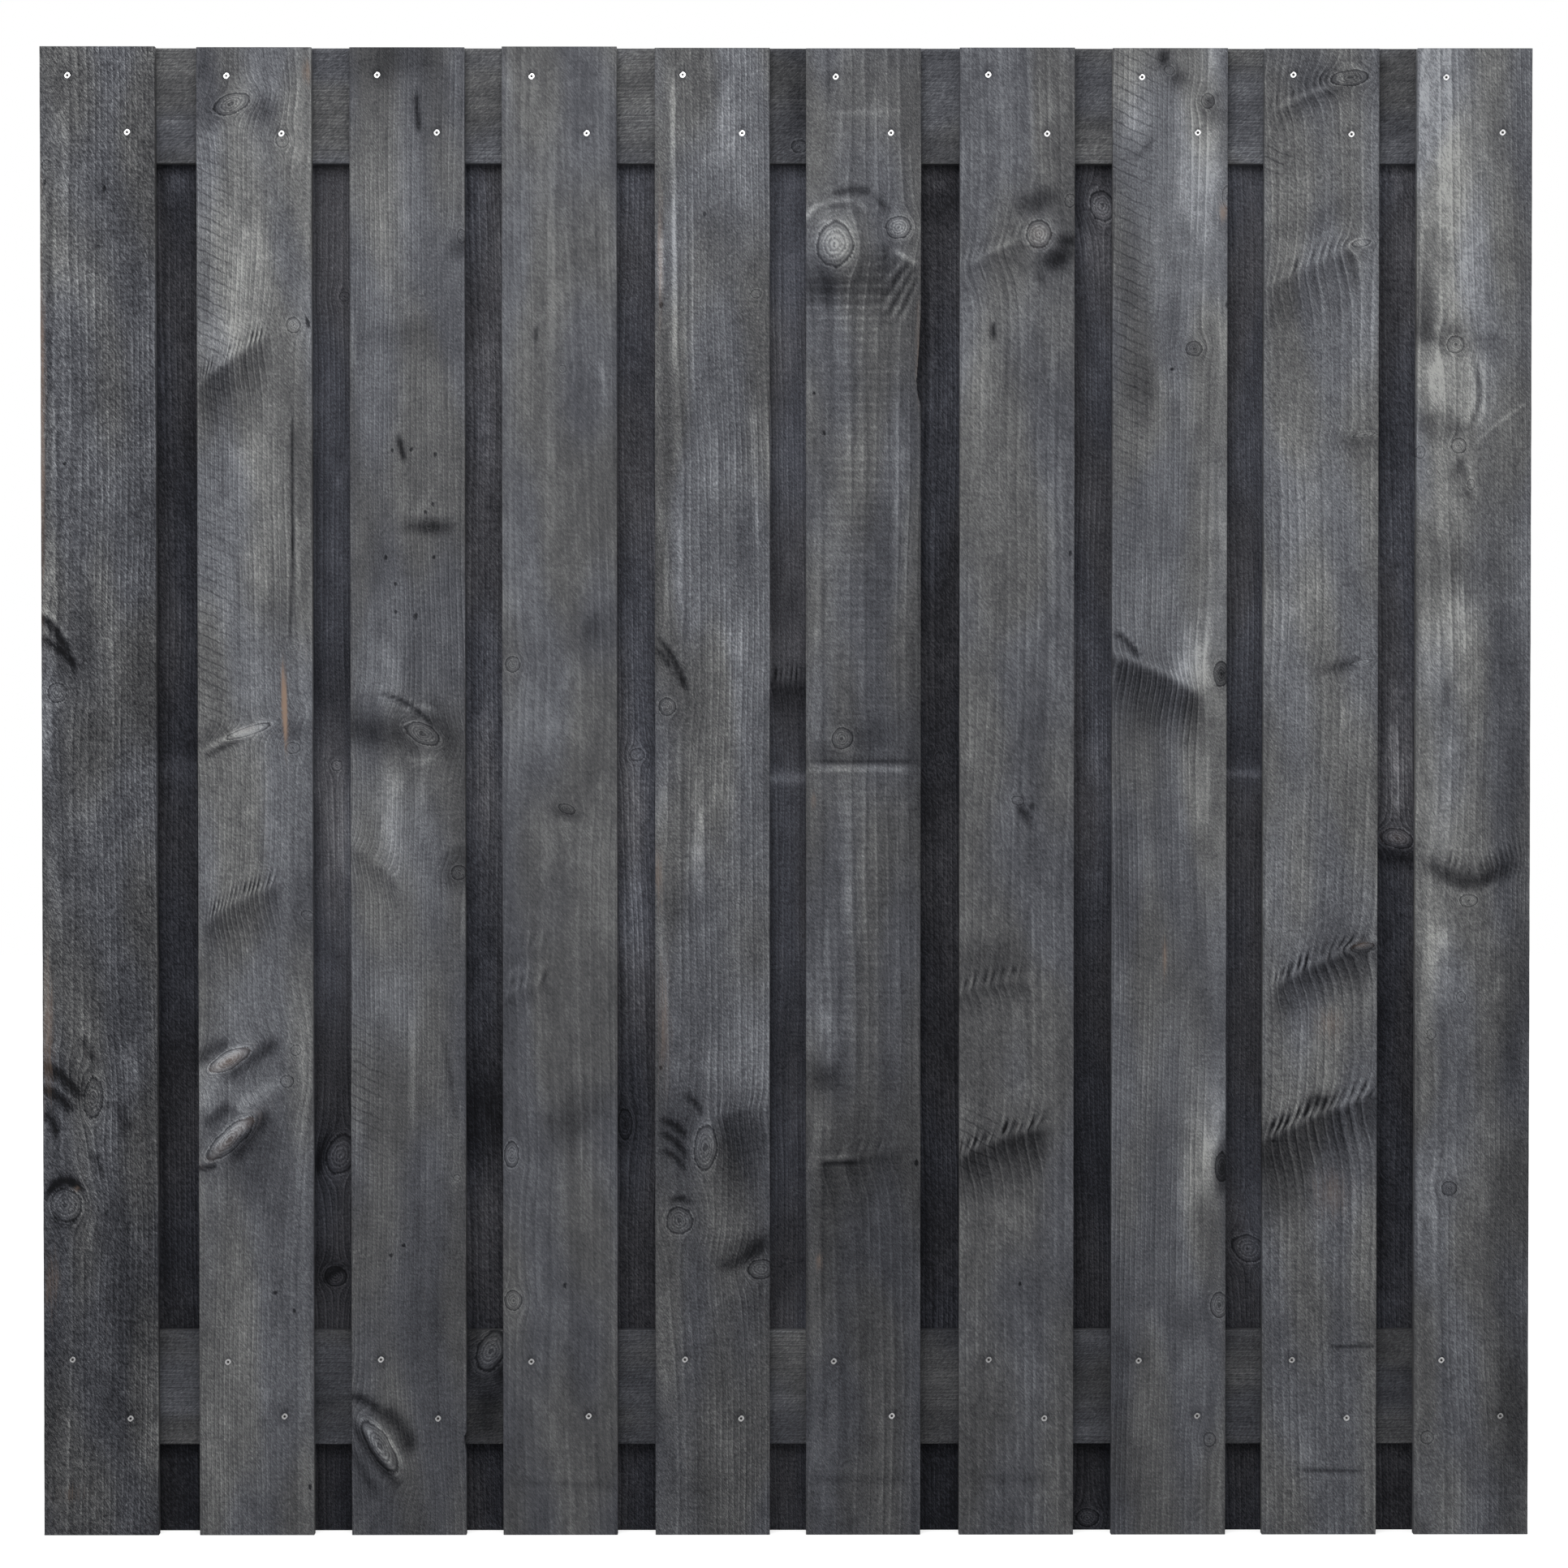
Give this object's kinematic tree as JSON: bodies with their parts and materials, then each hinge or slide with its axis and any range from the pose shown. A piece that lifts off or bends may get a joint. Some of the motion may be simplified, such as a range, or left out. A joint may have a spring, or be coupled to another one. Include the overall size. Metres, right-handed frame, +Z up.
{
  "type": "wooden fence panel",
  "caption": "Square close-boarded timber fence panel, vertical boards on both faces of two rails, black stained, countersunk screws.",
  "frame": {"origin": "centre of the panel's footprint, on the ground under the boards' lower ends", "axes": "+X to the right along the panel, +Y from the front face to the back, +Z up"},
  "size_m": [1.8, 0.048, 1.8],
  "materials": {
    "stained_boards": "sawn, black stained",
    "stained_rails": "sawn, black stained",
    "screws": "bright stainless"
  },
  "bodies": {
    "root": {"front_board_1": "stained_boards", "front_board_2": "stained_boards", "front_board_3": "stained_boards", "front_board_4": "stained_boards", "front_board_5": "stained_boards", "front_board_6": "stained_boards", "front_board_7": "stained_boards", "front_board_8": "stained_boards", "front_board_9": "stained_boards", "front_board_10": "stained_boards", "back_board_1": "stained_boards", "back_board_2": "stained_boards", "back_board_3": "stained_boards", "back_board_4": "stained_boards", "back_board_5": "stained_boards", "back_board_6": "stained_boards", "back_board_7": "stained_boards", "back_board_8": "stained_boards", "back_board_9": "stained_boards", "bottom_rail": "stained_rails", "top_rail": "stained_rails", "front_screws": "screws", "back_screws": "screws"}
  },
  "joints": []
}
